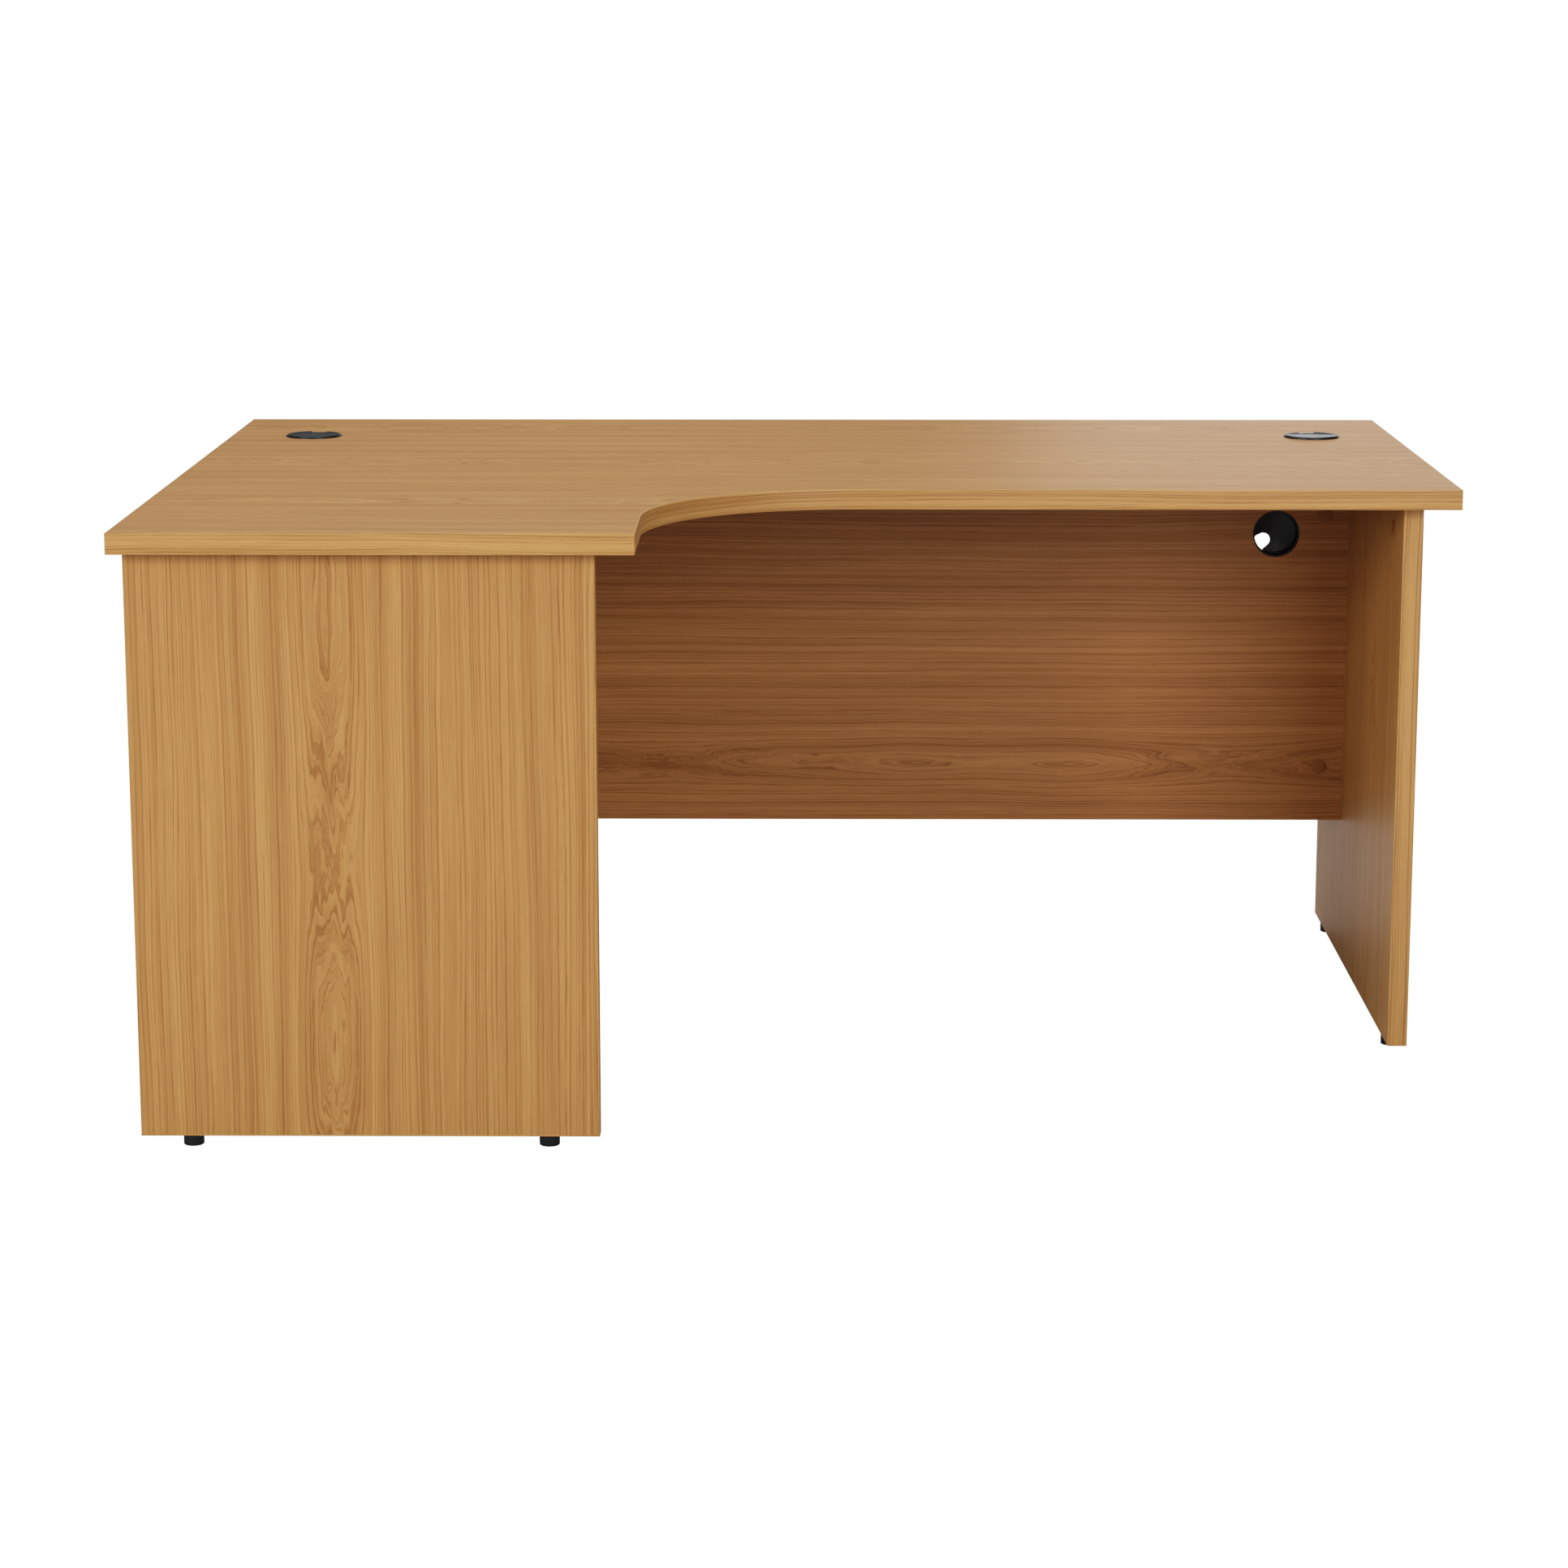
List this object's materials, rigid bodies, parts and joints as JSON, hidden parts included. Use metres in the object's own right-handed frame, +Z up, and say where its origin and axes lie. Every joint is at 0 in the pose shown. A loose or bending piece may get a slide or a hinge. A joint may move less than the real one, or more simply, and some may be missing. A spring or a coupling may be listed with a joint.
{
  "type": "teacher desk",
  "caption": "Left-hand corner desk: L-shaped oak-faced top with a curved inner edge on panel legs, modesty panels, turning cable-port caps and levelling feet.",
  "frame": {"origin": "on the floor under the middle of the top", "axes": "+X to the right of a person who sits at the desk, +Y away from the sitter, +Z up"},
  "size_m": [1.6, 1.2, 0.733],
  "materials": {
    "oak_laminate": "satin oak-effect laminate",
    "oak_edging": "satin oak-effect edging",
    "black_plastic": "fine satin moulded black",
    "cover_plastic": "satin oak-coloured moulding",
    "insert_plastic": "natural nylon",
    "zinc": "dull die-cast zinc"
  },
  "bodies": {
    "desk": {"desktop_board": "oak_laminate", "desktop_edging_inner": "oak_edging", "desktop_edging_left": "oak_edging", "desktop_edging_rear": "oak_edging", "desktop_edging_return": "oak_edging", "desktop_edging_right": "oak_edging", "left_port_sleeve": "black_plastic", "main_modesty_cam_cover_left_lower": "cover_plastic", "main_modesty_cam_cover_left_upper": "cover_plastic", "main_modesty_cam_cover_right_lower": "cover_plastic", "main_modesty_cam_cover_right_upper": "cover_plastic", "main_modesty_cam_left_lower": "zinc", "main_modesty_cam_left_upper": "zinc", "main_modesty_cam_right_lower": "zinc", "main_modesty_cam_right_upper": "zinc", "main_modesty_panel": "oak_laminate", "modesty_port_sleeve": "black_plastic", "rear_leg_cam_cover_front": "cover_plastic", "rear_leg_cam_cover_rear": "cover_plastic", "rear_leg_cam_front": "zinc", "rear_leg_cam_rear": "zinc", "rear_leg_edging": "oak_edging", "rear_leg_insert_front": "insert_plastic", "rear_leg_insert_rear": "insert_plastic", "rear_leg_panel": "oak_laminate", "return_leg_cam_cover_left": "cover_plastic", "return_leg_cam_cover_right": "cover_plastic", "return_leg_cam_left": "zinc", "return_leg_cam_right": "zinc", "return_leg_edging": "oak_edging", "return_leg_insert_left": "insert_plastic", "return_leg_insert_right": "insert_plastic", "return_leg_panel": "oak_laminate", "return_modesty_cam_cover_front_lower": "cover_plastic", "return_modesty_cam_cover_front_upper": "cover_plastic", "return_modesty_cam_cover_rear_lower": "cover_plastic", "return_modesty_cam_cover_rear_upper": "cover_plastic", "return_modesty_cam_front_lower": "zinc", "return_modesty_cam_front_upper": "zinc", "return_modesty_cam_rear_lower": "zinc", "return_modesty_cam_rear_upper": "zinc", "return_modesty_panel": "oak_laminate", "right_leg_cam_cover_front": "cover_plastic", "right_leg_cam_cover_rear": "cover_plastic", "right_leg_cam_front": "zinc", "right_leg_cam_rear": "zinc", "right_leg_edging": "oak_edging", "right_leg_insert_front": "insert_plastic", "right_leg_insert_rear": "insert_plastic", "right_leg_panel": "oak_laminate", "right_port_sleeve": "black_plastic"},
    "left_port_cap": {"left_port_cap": "black_plastic"},
    "modesty_port_cap": {"modesty_port_cap": "black_plastic"},
    "rear_leg_foot_front": {"rear_leg_foot_front": "black_plastic"},
    "rear_leg_foot_rear": {"rear_leg_foot_rear": "black_plastic"},
    "return_leg_foot_left": {"return_leg_foot_left": "black_plastic"},
    "return_leg_foot_right": {"return_leg_foot_right": "black_plastic"},
    "right_leg_foot_front": {"right_leg_foot_front": "black_plastic"},
    "right_leg_foot_rear": {"right_leg_foot_rear": "black_plastic"},
    "right_port_cap": {"right_port_cap": "black_plastic"}
  },
  "joints": [
    {"name": "left_port_cap_turn", "type": "hinge", "parent": "desk", "child": "left_port_cap", "pos_m": [-0.686, 0.382, 0.73], "axis": [0, 0, 1], "continuous": true},
    {"name": "modesty_port_cap_turn", "type": "hinge", "parent": "desk", "child": "modesty_port_cap", "pos_m": [0.635, 0.348, 0.603], "axis": [0, 1, 0], "continuous": true},
    {"name": "rear_leg_foot_front_screw", "type": "slide", "parent": "desk", "child": "rear_leg_foot_front", "axis": [0, 0, -1], "range_m": [0, 0.01]},
    {"name": "rear_leg_foot_rear_screw", "type": "slide", "parent": "desk", "child": "rear_leg_foot_rear", "axis": [0, 0, -1], "range_m": [0, 0.01]},
    {"name": "return_leg_foot_left_screw", "type": "slide", "parent": "desk", "child": "return_leg_foot_left", "axis": [0, 0, -1], "range_m": [0, 0.01]},
    {"name": "return_leg_foot_right_screw", "type": "slide", "parent": "desk", "child": "return_leg_foot_right", "axis": [0, 0, -1], "range_m": [0, 0.01]},
    {"name": "right_leg_foot_front_screw", "type": "slide", "parent": "desk", "child": "right_leg_foot_front", "axis": [0, 0, -1], "range_m": [0, 0.01]},
    {"name": "right_leg_foot_rear_screw", "type": "slide", "parent": "desk", "child": "right_leg_foot_rear", "axis": [0, 0, -1], "range_m": [0, 0.01]},
    {"name": "right_port_cap_turn", "type": "hinge", "parent": "desk", "child": "right_port_cap", "pos_m": [0.686, 0.382, 0.73], "axis": [0, 0, 1], "continuous": true}
  ]
}
